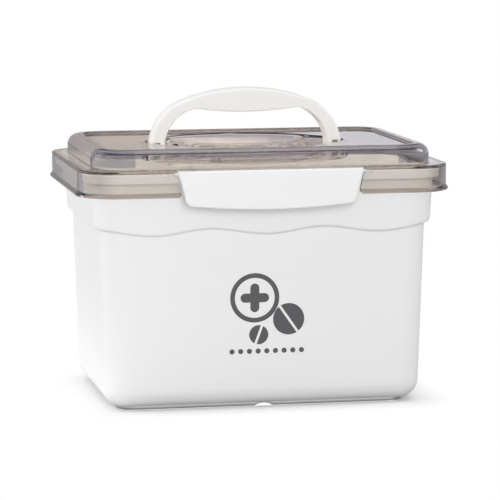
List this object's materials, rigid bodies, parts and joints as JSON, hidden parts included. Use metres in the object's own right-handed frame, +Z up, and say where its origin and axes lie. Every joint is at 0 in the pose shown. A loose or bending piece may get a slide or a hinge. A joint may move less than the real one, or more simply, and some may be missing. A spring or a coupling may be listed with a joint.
{
  "type": "medicine box",
  "caption": "Plastic medicine box: tapered tub, lift-off see-through lid, latches at front and back, folding carry handle, lift-out tray with slot-in dividers.",
  "frame": {"origin": "middle of the foot ring's underside, where the box stands", "axes": "+X to the right as the front latch is faced, +Y to the back, +Z up"},
  "size_m": [0.273, 0.2016, 0.2276],
  "materials": {
    "tub_plastic": "white moulded polypropylene with a fine satin texture",
    "lid_smoky_plastic": "clear smoky grey-brown plastic, polished",
    "seal_rubber": "soft translucent silicone",
    "latch_plastic": "white moulded plastic, semi-gloss",
    "handle_plastic": "warm white moulded plastic, semi-gloss",
    "pin_plastic": "white nylon",
    "tray_plastic": "white moulded polypropylene",
    "divider_plastic": "white moulded polypropylene"
  },
  "bodies": {
    "tub": {"tub": "tub_plastic"},
    "lid": {"lid": "lid_smoky_plastic", "seal_ring": "seal_rubber"},
    "front_latch": {"front_latch": "latch_plastic"},
    "rear_latch": {"rear_latch": "latch_plastic"},
    "handle": {"handle": "handle_plastic", "left_handle_pin": "pin_plastic", "right_handle_pin": "pin_plastic"},
    "tray": {"tray": "tray_plastic", "front_left_divider": "divider_plastic", "front_right_divider": "divider_plastic", "back_left_divider": "divider_plastic", "back_right_divider": "divider_plastic"}
  },
  "joints": [
    {"name": "lid_lift", "type": "slide", "parent": "tub", "child": "lid", "axis": [0, 0, 1], "range_m": [0, 0.16]},
    {"name": "tray_lift", "type": "slide", "parent": "tub", "child": "tray", "axis": [0, 0, 1], "range_m": [0, 0.08]},
    {"name": "front_latch_open", "type": "hinge", "parent": "lid", "child": "front_latch", "pos_m": [0, -0.0966, 0.1729], "axis": [-1, 0, 0], "range_deg": [0, 105]},
    {"name": "rear_latch_open", "type": "hinge", "parent": "lid", "child": "rear_latch", "pos_m": [0, 0.0966, 0.1729], "axis": [1, 0, 0], "range_deg": [0, 105]},
    {"name": "handle_fold", "type": "hinge", "parent": "lid", "child": "handle", "pos_m": [0, 0, 0.1832], "axis": [1, 0, 0], "range_deg": [-90, 90]}
  ],
  "couplings": [
    {"joint": "tray_lift", "follows": "lid_lift", "ratio": 0.5}
  ]
}
